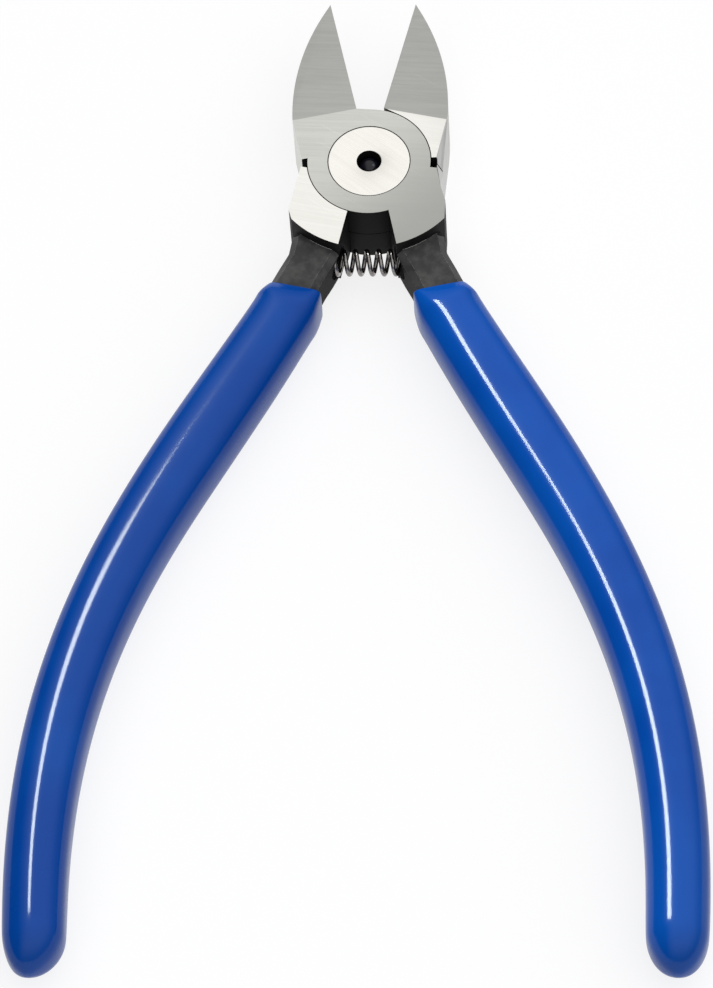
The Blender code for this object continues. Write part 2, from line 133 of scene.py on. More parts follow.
class Graph:
    """The nodes of one material or world, built round its shader."""

    def __init__(self, owner: Owner, shader: str = "Principled BSDF") -> None:
        """Open the node tree of a new material or world, which holds the shader of this name."""
        owner.use_nodes = True
        self.owner = owner
        self.tree = owner.node_tree
        self.shader = self.tree.nodes[shader]

    def node(self, kind: str, settings: dict[str, Any], inputs: dict[Any, Any], output: int = 0) -> Value:
        """Add a node.

        Args:
            kind: The node's type name.
            settings: Its own properties.
            inputs: A value or a link for each socket, by name or by number.
            output: Number of the output that is returned.

        Returns:
            The chosen output.
        """
        made = self.tree.nodes.new(kind)
        for key, value in settings.items():
            setattr(made, key, value)
        for key, value in inputs.items():
            self._feed(made.inputs[key], value)
        return Value(self, made.outputs[output])

    def _feed(self, socket: bpy.types.NodeSocket, value: Any) -> None:
        """Link a value to a socket, or set the socket to a constant."""
        if isinstance(value, Value):
            self.tree.links.new(value.socket, socket)
        elif socket.type == "RGBA":
            socket.default_value = (*value, 1.0)
        else:
            socket.default_value = value

    def math(self, operation: str, first: "Value | float", second: "Value | float") -> Value:
        """A Math node on two values."""
        return self.node("ShaderNodeMath", {"operation": operation}, {0: first, 1: second})

    def mix(self, factor: "Value | float", first: Any, second: Any) -> Value:
        """A blend of two colours."""
        inputs = {0: factor, 6: first, 7: second}
        return self.node("ShaderNodeMix", {"data_type": "RGBA"}, inputs, output=2)

    def place(self, scale: Triple, degrees: float = 0.0) -> Value:
        """Object coordinates turned about Z, then stretched to this many repeats per metre."""
        coordinates = self.node("ShaderNodeTexCoord", {}, {}, output=3)
        turn = {"Vector": coordinates, "Rotation": (0.0, 0.0, math.radians(degrees))}
        turned = self.node("ShaderNodeMapping", {}, turn)
        return self.node("ShaderNodeMapping", {}, {"Vector": turned, "Scale": scale})

    def noise(
        self, scale: Triple, detail: float = 2.0, roughness: float = 0.5, degrees: float = 0.0
    ) -> Value:
        """Cloudy noise, about 0.5 on average.

        Args:
            scale: Cells per metre along each axis.
            detail: How many finer layers it has.
            roughness: How strong the finer layers are.
            degrees: Turn of the axes about Z.

        Returns:
            The noise.
        """
        where = self.place(scale, degrees)
        inputs = {"Vector": where, "Scale": 1.0, "Detail": detail, "Roughness": roughness}
        return self.node("ShaderNodeTexNoise", {}, inputs)

    def bump(self, height: Value, distance: float) -> Value:
        """The normal of a height from 0 to 1, where 1 stands for this distance in metres."""
        return self.node("ShaderNodeBump", {}, {"Height": height, "Distance": distance, "Strength": 1.0})

    def finish(self, **inputs: Any) -> Owner:
        """Feed the shader's sockets, whose names have underscores for spaces here.

        Args:
            inputs: A value or a link for each socket.

        Returns:
            The finished material or world.
        """
        for key, value in inputs.items():
            self._feed(self.shader.inputs[key.replace("_", " ")], value)
        return self.owner


@dataclass(frozen=True)
class GroundSteel:
    """Bare steel off the grinding wheel: fine parallel lines, faint clouding, stray scratches, and where
    asked a painted shade that darkens the face towards +X and −Y.
    """

    name: str
    light: Triple
    dark: Triple
    roughness: float
    grain_degrees: float
    line_depth: float = 1.2e-6
    tone_range: Pair = (0.36, 0.64)
    scratch_range: Pair = (0.70, 0.78)
    scratch_degrees: float = 34.0
    lines_per_metre: Triple = (260.0, 9000.0, 2500.0)
    streaks_per_metre: Triple = (90.0, 2200.0, 800.0)
    clouds_per_metre: Triple = (170.0, 170.0, 170.0)
    scratches_per_metre: Triple = (55.0, 3400.0, 900.0)
    # painted shade: how much darker the face is painted towards +X and −Y, the turn of that ramp and where
    # it starts and ends
    painted_shade: float = 0.0
    painted_shade_degrees: float = 48.0
    painted_shade_from: float = -0.006
    painted_shade_to: float = 0.013

    def material(self) -> bpy.types.Material:
        """Build the material."""
        graph = Graph(bpy.data.materials.new(self.name))
        lines = graph.noise(self.lines_per_metre, 3.0, 0.6, self.grain_degrees)
        streaks = graph.noise(self.streaks_per_metre, degrees=self.grain_degrees)
        clouds = graph.noise(self.clouds_per_metre, 3.0, 0.6)
        scratch_field = graph.noise(self.scratches_per_metre, 1.0, degrees=self.scratch_degrees)
        scratches = scratch_field.between(*self.scratch_range)
        tone = (lines * 0.35 + streaks * 0.35 + clouds * 0.30).between(*self.tone_range)
        colour = graph.mix(tone, self.dark, self.light)
        colour = graph.mix(scratches * 0.35, colour, self.light)
        # painted shade: darken the colour along a ramp towards +X and −Y, standing in for how the light
        # falls across the face
        if self.painted_shade:
            place = graph.place(UNSCALED, self.painted_shade_degrees)
            slope = graph.node("ShaderNodeSeparateXYZ", {}, {"Vector": place})
            shade = tuple(channel * (1.0 - self.painted_shade) for channel in self.dark)
            colour = graph.mix(slope.between(self.painted_shade_from, self.painted_shade_to), colour, shade)
        roughness = (lines * 0.12 + clouds * 0.10 - scratches * 0.08) + (self.roughness - 0.11)
        height = lines * 0.8 + streaks * 0.4 - scratches * 0.5
        normal = graph.bump(height, self.line_depth)
        return graph.finish(Base_Color=colour, Roughness=roughness, Metallic=1.0, Normal=normal)


@dataclass(frozen=True)
class BlackOxide:
    """Blackened forging skin: mottled charcoal with a faint oily gloss and small pits."""

    name: str
    light: Triple
    dark: Triple
    roughness: float
    specular: float = 0.5
    pit_depth: float = 6.0e-6
    tone_range: Pair = (0.38, 0.64)
    mottle_per_metre: Triple = (900.0, 900.0, 900.0)
    clouds_per_metre: Triple = (230.0, 230.0, 230.0)
    pits_per_metre: Triple = (4200.0, 4200.0, 4200.0)

    def material(self) -> bpy.types.Material:
        """Build the material."""
        graph = Graph(bpy.data.materials.new(self.name))
        mottle = graph.noise(self.mottle_per_metre, 4.0, 0.6)
        clouds = graph.noise(self.clouds_per_metre)
        pits = graph.noise(self.pits_per_metre, 2.0, 0.7)
        tone = (mottle * 0.5 + clouds * 0.5).between(*self.tone_range)
        colour = graph.mix(tone, self.dark, self.light)
        roughness = pits * 0.16 + mottle * 0.14 + (self.roughness - 0.15)
        height = pits * 0.6 + mottle * 0.4
        return graph.finish(
            Base_Color=colour,
            Roughness=roughness,
            Metallic=0.0,
            Specular_IOR_Level=self.specular,
            Normal=graph.bump(height, self.pit_depth),
        )


@dataclass(frozen=True)
class DippedVinyl:
    """Glossy plastic skin with the slow waviness that dipping leaves, and a few specks."""

    name: str
    deep: Triple
    pale: Triple
    roughness: float = 0.30
    gloss_coat: float = 0.36
    specular: float = 0.03
    coat_roughness: float = 0.10
    wave_depth: float = 2.4e-5
    speck_depth: float = 5.0e-6
    tone_range: Pair = (0.36, 0.66)
    speck_range: Pair = (0.70, 0.80)
    waves_per_metre: Triple = (130.0, 60.0, 130.0)
    clouds_per_metre: Triple = (55.0, 55.0, 55.0)
    specks_per_metre: Triple = (520.0, 520.0, 520.0)

    def material(self) -> bpy.types.Material:
        """Build the material."""
        graph = Graph(bpy.data.materials.new(self.name))
        waves = graph.noise(self.waves_per_metre, 1.0)
        clouds = graph.noise(self.clouds_per_metre, 3.0, 0.55)
        grain = graph.noise(self.specks_per_metre, 2.0, 0.6)
        specks = grain.between(*self.speck_range)
        colour = graph.mix(clouds.between(*self.tone_range), self.deep, self.pale)
        colour = graph.mix(specks * 0.25, colour, self.pale)
        roughness = clouds * 0.10 + grain * 0.08 + (self.roughness - 0.09)
        wavy = graph.bump(waves, self.wave_depth)
        inputs = {"Height": grain, "Distance": self.speck_depth, "Strength": 1.0, "Normal": wavy}
        normal = graph.node("ShaderNodeBump", {}, inputs)
        return graph.finish(
            Base_Color=colour,
            Roughness=roughness,
            Metallic=0.0,
            Specular_IOR_Level=self.specular,
            Coat_Weight=self.gloss_coat,
            Coat_Roughness=self.coat_roughness,
            Normal=normal,
        )


@dataclass(frozen=True)
class StudioPaper:
    """The pale, back-lit seamless paper under the pliers, with a faint fibre."""

    name: str
    colour: Triple
    glow: float
    fibre: float = 0.02
    fibres_per_metre: Triple = (900.0, 900.0, 900.0)

    def material(self) -> bpy.types.Material:
        """Build the material."""
        graph = Graph(bpy.data.materials.new(self.name))
        fibres = graph.noise(self.fibres_per_metre, 3.0)
        shaded = tuple(channel * (1.0 - self.fibre) for channel in self.colour)
        colour = graph.mix(fibres, self.colour, shaded)
        return graph.finish(
            Base_Color=colour,
            Roughness=0.9,
            Specular_IOR_Level=0.1,
            Emission_Color=WHITE,
            Emission_Strength=self.glow,
        )


WHITE_STEEL = GroundSteel("polished_face_steel", (0.86, 0.845, 0.80), (0.79, 0.775, 0.73), 0.30, 12.0)
# the front lever's face carries the painted shade towards +X and −Y
GREY_STEEL = GroundSteel(
    "ground_face_steel", (0.64, 0.64, 0.60), (0.56, 0.56, 0.53), 0.34, 3.0, painted_shade=0.34
)
BLADE_STEEL = GroundSteel("ground_blade_steel", (0.46, 0.46, 0.435), (0.40, 0.40, 0.38), 0.36, 4.0)
FLANK_STEEL = GroundSteel("ground_flank_steel", (0.52, 0.52, 0.51), (0.44, 0.44, 0.43), 0.36, 86.0)
DISC_STEEL = GroundSteel("pivot_disc_steel", (0.88, 0.865, 0.81), (0.82, 0.80, 0.75), 0.28, 38.0)
TANG_OXIDE = BlackOxide("black_oxide_skin", (0.074, 0.073, 0.071), (0.030, 0.030, 0.031), 0.46, 0.32)
# painted shade: black oxide made near black and barely glossy, for walls, recesses and holes where shade
# falls
PAINTED_SHADE_OXIDE = BlackOxide("black_oxide_recess", (0.011, 0.010, 0.010), (0.006, 0.006, 0.006), 0.62, 0.10)
# rubbed edges of the oxide showing bare steel, also a painted highlight on the boss's foot fillet and the
# tang's edges
WORN_AND_HIGHLIGHT_OXIDE = BlackOxide("black_oxide_worn_edge", (0.56, 0.54, 0.53), (0.30, 0.29, 0.285), 0.34, 0.8)
PIN_OXIDE = BlackOxide("black_pin_gloss", (0.008, 0.008, 0.014), (0.004, 0.004, 0.008), 0.22, 0.35, 1.0e-6)
SPRING_STEEL = GroundSteel("oiled_spring_wire", (0.36, 0.34, 0.33), (0.18, 0.17, 0.165), 0.20, 0.0)
BLUE_VINYL = DippedVinyl("blue_dipped_vinyl", (0.0008, 0.045, 0.268), (0.0014, 0.058, 0.310))
FLOOR_PAPER = StudioPaper("pale_paper", (0.25, 0.25, 0.254), 0.80)


Finish = GroundSteel | BlackOxide | DippedVinyl | StudioPaper


@functools.cache
def material_of(finish: Finish) -> bpy.types.Material:
    """The material of a finish, made once."""
    return finish.material()


# ---- modelling bench

FLATS_WEIGHT = 100
WELD = 0.002
FINE_WELD = 0.0005


@dataclass(frozen=True)
class Line:
    """A straight stretch of an outline, to a point."""

    to: Pair

    @classmethod
    def polar(cls, radius: float, degrees: float) -> "Line":
        """A stretch to the point at this radius and angle from the pivot."""
        return cls(tuple(polar(radius, degrees)))


@dataclass(frozen=True)
class Arc:
    """A round stretch of an outline about a centre, counter-clockwise for positive degrees."""

    centre: Pair
    degrees: float
    steps: int


def clear_selection() -> None:
    """Leave edit mode and deselect every object."""
    if bpy.context.mode != "OBJECT":
        bpy.ops.object.mode_set(mode="OBJECT")
    bpy.ops.object.select_all(action="DESELECT")


def extrude_up(rise: float) -> None:
    """In edit mode, extrude the selected faces along Z by a length in millimetres."""
    bpy.ops.mesh.extrude_region_move(TRANSFORM_OT_translate={"value": (0.0, 0.0, rise * MM)})


def face_outwards() -> None:
    """In edit mode, turn every face of the piece outwards."""
    bpy.ops.mesh.select_all(action="SELECT")
    bpy.ops.mesh.normals_make_consistent(inside=False)


def bevel_edges(offset: float) -> None:
    """In edit mode, chamfer the selected edges by a length in millimetres."""
    bpy.ops.mesh.bevel(offset=offset * MM, segments=1, affect="EDGES", clamp_overlap=True)


def polar(radius: float, degrees: float) -> Vector:
    """The point at this radius and angle from the pivot."""
    angle = math.radians(degrees)
    return Vector((radius * math.cos(angle), radius * math.sin(angle)))


class Workpiece:
    """One mesh on the bench and the moves that shape it. Lengths are in millimetres."""

    def __init__(self, name: str, obj: bpy.types.Object) -> None:
        """Name an object that has just been added."""
        self.obj = obj
        obj.name = name
        obj.data.name = name

    @classmethod
    def traced(
        cls, name: str, start: Pair, moves: Sequence[Line | Arc], low: float, high: float
    ) -> "Workpiece":
        """Draw a flat outline with one vertex, fill it and give it thickness.

        Args:
            name: The piece's name.
            start: The first point.
            moves: The stretches in order. The last one closes on the start by itself.
            low: Height of the lower face.
            high: Height of the upper face.

        Returns:
            The piece, in object mode.
        """
        clear_selection()
        bpy.ops.mesh.primitive_plane_add(size=MM)
        piece = cls(name, bpy.context.object)
        with piece.editing("VERT", "SELECT"):
            bpy.ops.mesh.merge(type="CENTER")
            bpy.ops.transform.translate(value=(start[0] * MM, start[1] * MM, low * MM))
            tip = Vector(start)
            for move in moves:
                tip = piece._draw(tip, move, low)
            bpy.ops.mesh.select_all(action="SELECT")
            bpy.ops.mesh.edge_face_add()
            extrude_up(high - low)
            face_outwards()
        return piece

    def _draw(self, tip: Vector, move: Line | Arc, low: float) -> Vector:
        """Extend the outline by one stretch from its tip.

        Args:
            tip: The end of the outline so far.
            move: The stretch.
            low: Height of the outline.

        Returns:
            The new tip.
        """
        if isinstance(move, Line):
            step = Vector(move.to) - tip
            slide = {"value": (step.x * MM, step.y * MM, 0.0)}
            bpy.ops.mesh.extrude_vertices_move(TRANSFORM_OT_translate=slide)
            return Vector(move.to)
        centre, angle = Vector(move.centre), math.radians(move.degrees)
        hub = (centre.x * MM, centre.y * MM, low * MM)
        bpy.ops.mesh.spin(steps=move.steps, angle=-angle, center=hub, axis=(0.0, 0.0, 1.0))
        return centre + Matrix.Rotation(angle, 2) @ (tip - centre)

    @classmethod
    def cylinder(cls, name: str, radius: float, low: float, high: float, sides: int = 96) -> "Workpiece":
        """A closed cylinder round the pivot axis from one height to another."""
        clear_selection()
        size = {"vertices": sides, "radius": radius * MM, "depth": (high - low) * MM}
        bpy.ops.mesh.primitive_cylinder_add(**size, location=(0.0, 0.0, (low + high) / 2 * MM))
        bpy.ops.object.transform_apply(location=True)
        return cls(name, bpy.context.object)

    @classmethod
    def block(cls, name: str, low: Triple, high: Triple) -> "Workpiece":
        """A box between two corners."""
        clear_selection()
        size = [(b - a) * MM for a, b in zip(low, high)]
        middle = [(a + b) / 2 * MM for a, b in zip(low, high)]
        bpy.ops.mesh.primitive_cube_add(size=1.0, location=middle)
        piece = cls(name, bpy.context.object)
        piece.obj.scale = size
        bpy.ops.object.transform_apply(location=True, scale=True)
        return piece

    def activate(self) -> None:
        """Make this piece the only selected and the active one, in object mode."""
        clear_selection()
        self.obj.select_set(True)
        bpy.context.view_layer.objects.active = self.obj

    @contextmanager
    def editing(self, mode: str = "FACE", action: str = "DESELECT") -> Iterator[None]:
        """Enter edit mode, with nothing selected or with all of it, and leave it at the end."""
        self.activate()
        bpy.ops.object.mode_set(mode="EDIT")
        bpy.ops.mesh.select_mode(type=mode)
        bpy.ops.mesh.select_all(action=action)
        yield
        bpy.ops.object.mode_set(mode="OBJECT")

    def pick_faces(self, wanted: Test) -> None:
        """In edit mode, select the faces whose centre, in millimetres, and normal are wanted."""
        cage = bmesh.from_edit_mesh(self.obj.data)
        for face in cage.faces:
            face.select_set(wanted(face.calc_center_median() / MM, face.normal))
        cage.select_flush_mode()
        bmesh.update_edit_mesh(self.obj.data)

    def pick_edges(self, wanted: Test) -> None:
        """In edit mode, select the edges whose two ends, in millimetres, are wanted."""
        cage = bmesh.from_edit_mesh(self.obj.data)
        for edge in cage.edges:
            first, second = (vertex.co / MM for vertex in edge.verts)
            edge.select_set(wanted(first, second))
        bmesh.update_edit_mesh(self.obj.data)

    def cut_off(self, point: Triple, normal: Triple) -> None:
        """Cut the piece with a plane, drop what lies on the normal's side and close the cut."""
        place, towards = Vector(point) * MM, Vector(normal).normalized()
        with self.editing(action="SELECT"):
            bpy.ops.mesh.bisect(plane_co=place, plane_no=towards, use_fill=True, clear_outer=True)

    def modify(self, kind: str, **settings: Any) -> None:
        """Add a modifier of this kind with these settings, and apply it."""
        self.activate()
        modifier = self.obj.modifiers.new(kind.lower(), kind)
        for key, value in settings.items():
            setattr(modifier, key, value)
        bpy.ops.object.modifier_apply(modifier=modifier.name)

    def combine(self, other: "Workpiece", operation: str) -> None:
        """Apply a Boolean with another piece, which is used up."""
        self.modify("BOOLEAN", operation=operation, object=other.obj, solver="EXACT")
        bpy.data.objects.remove(other.obj)

    def carve(self, other: "Workpiece") -> None:
        """Cut another piece's shape out of this one."""
        self.combine(other, "DIFFERENCE")

    def soften_edges(self, width: float, degrees: float, segments: int, slot: int = -1) -> None:
        """Round every edge sharper than the angle.

        Args:
            width: Width of the rounding.
            degrees: Smallest angle between faces that is rounded.
            segments: Faces across the rounding.
            slot: Material slot of the new faces, or -1 to take their neighbours'.
        """
        limit = {"limit_method": "ANGLE", "angle_limit": math.radians(degrees), "use_clamp_overlap": True}
        self.modify("BEVEL", width=width * MM, segments=segments, material=slot, **limit)

    def settle(self, side: Side, open_degrees: float) -> None:
        """Mirror a rear piece and turn the piece open about the pivot, with its place in its mesh."""
        self.activate()
        if side is Side.REAR:
            self.obj.scale.x = -1.0
        bpy.ops.object.transform_apply(scale=True)
        self.obj.rotation_euler.z = math.radians(open_degrees * side.value)
        bpy.ops.object.transform_apply(rotation=True)
        with self.editing():
            face_outwards()

    def weld(self, distance: float = WELD) -> None:
        """Merge doubled vertices and turn the faces outwards."""
        with self.editing("VERT", "SELECT"):
            bpy.ops.mesh.remove_doubles(threshold=distance * MM)
            face_outwards()

    def shade(self, degrees: float, keep_flats: bool = True) -> None:
        """Shade smooth except across edges sharper than the angle, with large faces left looking flat."""
        self.activate()
        bpy.ops.object.shade_smooth_by_angle(angle=math.radians(degrees))
        if keep_flats:
            self.modify("WEIGHTED_NORMAL", keep_sharp=True, weight=FLATS_WEIGHT)

    def dress(self, *finishes: Finish) -> None:
        """Give the piece its material slots, in order."""
        self.obj.data.materials.clear()
        for finish in finishes:
            self.obj.data.materials.append(material_of(finish))


def hand_over(piece: Workpiece, body: str, slot: str, *nodes: str) -> None:
    """Put a finished piece on its body in place of its CAD nodes.

    Args:
        piece: The finished piece.
        body: Body that it moves with.
        slot: The record's material slot; not used.
        nodes: CAD nodes that it stands for.
    """
    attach(piece.obj, body)
    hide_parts(*nodes)
    log.info("%s rides on %s with %d faces", piece.obj.name, body, len(piece.obj.data.polygons))


# ---- handle line


@dataclass(frozen=True)
class HandleLine:
    """The curve down the middle of a handle, and the widths along it."""

    corners: tuple[Pair, Pair, Pair, Pair] = ((4.8, -17.3), (12.2, -46.2), (25.7, -67.3), (12.7, -110.1))
    mouth_width: float = 7.5
    widest: float = 8.4
    widest_at: float = 0.3
    end_width: float = 7.1
    mouth_wall: float = 0.85
    full_wall: float = 1.45
    wall_grows_until: float = 0.15

    def point(self, t: float) -> Vector:
        """The point at t, from 0 by the mouth to 1 at the far end."""
        a, b, c, d = (Vector(corner) for corner in self.corners)
        u = 1.0 - t
        return u**3 * a + 3 * u * u * t * b + 3 * u * t * t * c + t**3 * d

    def along(self, t: float) -> Vector:
        """The unit direction down the handle at t."""
        a, b, c, d = (Vector(corner) for corner in self.corners)
        u = 1.0 - t
        return (u * u * (b - a) + 2 * u * t * (c - b) + t * t * (d - c)).normalized()

    def across(self, t: float) -> Vector:
        """The unit direction across the handle at t, pointing outwards."""
        along = self.along(t)
        return Vector((-along.y, along.x))

    def half_width(self, t: float) -> float:
        """Half of the grip's width at t."""
        if t < self.widest_at:
            short = (self.widest_at - t) / self.widest_at
            return (self.widest - (self.widest - self.mouth_width) * short**2) / 2
        shrunk = (t - self.widest_at) / (1.0 - self.widest_at)
        return (self.widest - (self.widest - self.end_width) * shrunk) / 2

    def core_half_width(self, t: float) -> float:
        """Half of the width of the steel inside the grip at t."""
        grown = min(t / self.wall_grows_until, 1.0)
        return self.half_width(t) - self.mouth_wall - (self.full_wall - self.mouth_wall) * grown


# ---- levers


@dataclass
class Lever:
    """One forged lever: cutting jaw, half-lap disc, shoulder and the tang inside its grip."""

    name: str
    body: str
    side: Side
    face: GroundSteel
    handle: HandleLine = field(default_factory=HandleLine)
    open_degrees: float = 12.0
    thickness: float = 9.4
    tang_thickness: float = 6.0
    seam: float = 0.12
    lap_radius: float = 7.3
    heel_radius: float = 7.6
    heel_from_y: float = 6.8
    boss_radius: float = 12.1
    flank_x: float = 7.75
    flank_foot: Pair = (7.15, -9.76)
    flank_end_y: float = -8.6
    bulged_flank_x: float = 8.5
    bulge_waist: Pair = (7.6, -5.2)
    bulge_end_y: float = -7.4
    crotch_x: float = 0.94
    notch_radius: float = 8.1
    notch_shoulder_degrees: float = -19.2
    stop_shoulder_degrees: float = -14.2
    notch_jaw_degrees: float = 164.6
    stop_jaw_degrees: float = 168.2
    tip_y: float = 24.6
    tip_flat: float = 0.35
    edge_gap: float = 0.05
    jaw_half_width: float = 8.2
    jaw_widest_y: float = 2.5
    jaw_base_y: float = 7.6
    facet_y: float = 7.35
    tip_front_drop: float = 2.4
    back_facet_y: float = 8.6
    tip_back_rise: float = 4.0
    edge_land: float = 0.3
    edge_bevel_degrees: float = 24.0
    edge_bevel_start_y: float = 9.4
    strip_top_x: float = 7.7
    strip_slope: Pair = (3.5, 1.25)
    bore_radius: float = 3.2
    seat_radius: float = 4.93
    seat_depth: float = 1.75
    neck: tuple[Pair, ...] = ((5.2, -6.5), (6.85, -10.8), (6.75, -13.2), (7.35, -15.4))
    neck_inside: tuple[Pair, ...] = (
        (1.95, -15.8), (1.4, -13.9), (0.94, -12.0), (0.94, -10.8), (1.6, -8.5)
    )
    core_from: float = 0.06
    core_to: float = 0.93
    core_end_length: float = 2.0
    core_steps: int = 26
    core_tip_share: float = 0.32
    tang_chamfer: float = 0.75
    edge_softening: float = 0.09
    foot_fillet: float = 0.45
    back_relief: tuple[Pair, ...] = ((-0.5, -8.6), (0.94, -8.6), (3.4, -12.4), (-0.5, -12.6))
    # the painted highlight on the boss's foot stops at this X
    foot_painted_highlight_x: float = 4.8
    spring_y: float = -11.3
    pocket_radius: float = 2.05
    pocket_reach: float = 6.0
    overrun: float = 1.0
    flat_slop: float = 0.02
    round_slop: float = 0.03
    place_slop: float = 0.05
    flank_slop: float = 0.3
    shoulder_slop: float = 0.6
    steep: float = 0.35
    foot_slopes: Pair = (0.3, 0.95)
    sideways: float = 0.5
    sharp_degrees: float = 28.0
    smooth_degrees: float = 24.0
    lap_steps: int = 46
    touch_steps: int = 34
    boss_steps: int = 14
    back_steps: int = 26
    room_steps: int = 96
    seat_sides: int = 128
    pocket_sides: int = 40

    @property
    def middle(self) -> float:
        """Height of the middle plane."""
        return self.thickness / 2

    @property
    def in_front(self) -> bool:
        """Whether this lever's lap disc is the front one."""
        return self.side is Side.FRONT

    def _shoulder_side(self) -> list[Line | Arc]:
        """Down the outside of the shoulder, from the notch to the boss."""
        if not self.in_front:
            start_y = polar(self.lap_radius, self.notch_shoulder_degrees).y
            flank = [(self.flank_x, start_y), (self.flank_x, self.flank_end_y), self.flank_foot]
            return [Line(corner) for corner in flank]
        stop_y = self.bulged_flank_x * math.tan(math.radians(self.stop_shoulder_degrees))
        notch_turn = self.stop_shoulder_degrees - self.notch_shoulder_degrees
        return [
            Line.polar(self.notch_radius, self.notch_shoulder_degrees),
            Arc((0.0, 0.0), notch_turn, 2),
            Line((self.bulged_flank_x, stop_y)),
            Line(self.bulge_waist),
            Line((self.flank_x, self.bulge_end_y)),
            Line(self.flank_foot),
        ]

    def _jaw_side(self) -> list[Line | Arc]:
        """Up the outside of the jaw's base, from the notch to the jaw's back."""
        if self.in_front:
            start_y = polar(self.lap_radius, self.notch_jaw_degrees).y
            return [Line((-self.flank_x, start_y))]
        stop_y = -self.bulged_flank_x * math.tan(math.radians(self.stop_jaw_degrees))
        return [
            Line.polar(self.notch_radius, self.notch_jaw_degrees),
            Arc((0.0, 0.0), self.stop_jaw_degrees - self.notch_jaw_degrees, 2),
            Line((-self.bulged_flank_x, stop_y)),
        ]

    def _jaw_back(self) -> list[Line | Arc]:
        """Up the arc of the jaw's back, from its base to the flat of the tip."""
        rise = self.tip_y - self.jaw_widest_y
        radius = (self.jaw_half_width**2 + rise**2) / (2 * self.jaw_half_width)
        centre = Vector((radius - self.jaw_half_width, self.jaw_widest_y))
        start = math.asin((self.jaw_base_y - self.jaw_widest_y) / radius)
        end = math.acos((centre.x + self.tip_flat) / radius)
        base = centre + radius * Vector((-math.cos(start), math.sin(start)))
        return [Line(tuple(base)), Arc(tuple(centre), -math.degrees(end - start), self.back_steps)]

    def _head(self) -> Workpiece:
        """The jaw, lap disc and shoulder as one thick plate, with its facets ground."""
        touch = 90.0 - math.degrees(math.acos(self.lap_radius / self.heel_radius))
        boss_start = math.degrees(math.atan2(self.flank_foot[1], self.flank_foot[0]))
        boss_end = -math.degrees(math.acos(self.crotch_x / self.boss_radius))
        crotch = -math.degrees(math.acos(self.crotch_x / self.lap_radius))
        lap_end = self.notch_jaw_degrees - 360.0
        pivot = (0.0, 0.0)
        moves: list[Line | Arc] = [
            Line((-self.edge_gap, self.heel_radius)),
            Line.polar(self.lap_radius, touch),
            Arc(pivot, self.notch_shoulder_degrees - touch, self.touch_steps),
            *self._shoulder_side(),
            Arc(pivot, boss_end - boss_start, self.boss_steps),
            Line.polar(self.lap_radius, crotch),
            Arc(pivot, lap_end - crotch, self.lap_steps),
            *self._jaw_side(),
            *self._jaw_back(),
        ]
        head = Workpiece.traced(self.name, (-self.edge_gap, self.tip_y), moves, 0.0, self.thickness)
        blade_length = self.tip_y - self.facet_y
        head.cut_off((0.0, self.facet_y, self.thickness), (0.0, self.tip_front_drop, blade_length))
        back_length = self.tip_y - self.back_facet_y
        head.cut_off((0.0, self.back_facet_y, 0.0), (0.0, self.tip_back_rise, -back_length))
        outward = self.side.value
        slope_x, slope_z = self.strip_slope
        head.cut_off((outward * self.strip_top_x, 0.0, self.thickness), (outward * slope_x, 0.0, slope_z))
        head.carve(self._edge_bevel())
        relief = [Line(corner) for corner in self.back_relief[1:]]
        tang_low = self.middle - self.tang_thickness / 2
        head.carve(Workpiece.traced("back_relief", self.back_relief[0], relief, -self.overrun, tang_low))
        return head

    def _edge_bevel(self) -> Workpiece:
        """What is ground away behind the cutting edge, above the heel."""
        angle = math.radians(self.edge_bevel_degrees)
        slope = self.tip_front_drop / (self.tip_y - self.facet_y)
        edge_line = Vector((0.0, 1.0, -slope))
        down_face = Vector((-math.sin(angle), 0.0, -math.cos(angle)))
        normal = down_face.cross(edge_line)
        if normal.z > 0:
            normal.negate()
        wide = self.jaw_half_width + self.overrun
        low = (-wide, self.edge_bevel_start_y, -self.overrun)
        high = (wide, self.tip_y + self.overrun, self.thickness + self.overrun)
        waste = Workpiece.block("edge_bevel", low, high)
        edge = (-self.edge_gap, self.tip_y, self.thickness - self.tip_front_drop - self.edge_land)
        waste.cut_off(edge, tuple(-normal))
        return waste

    def _lap_room(self) -> Workpiece:
        """The room that this lever leaves for the other one's lap disc and heel."""
        radius = self.lap_radius + self.seam
        apex = self.heel_radius + self.seam
        touch = 90.0 - math.degrees(math.acos(radius / apex))
        if self.in_front:
            low, high = -self.overrun, self.middle + self.seam / 2
        else:
            low, high = self.middle - self.seam / 2, self.thickness + self.overrun
        moves = [Line.polar(radius, touch), Arc((0.0, 0.0), -180.0 - 2 * touch, self.room_steps)]
        return Workpiece.traced("lap_room", (0.0, apex), moves, low, high)

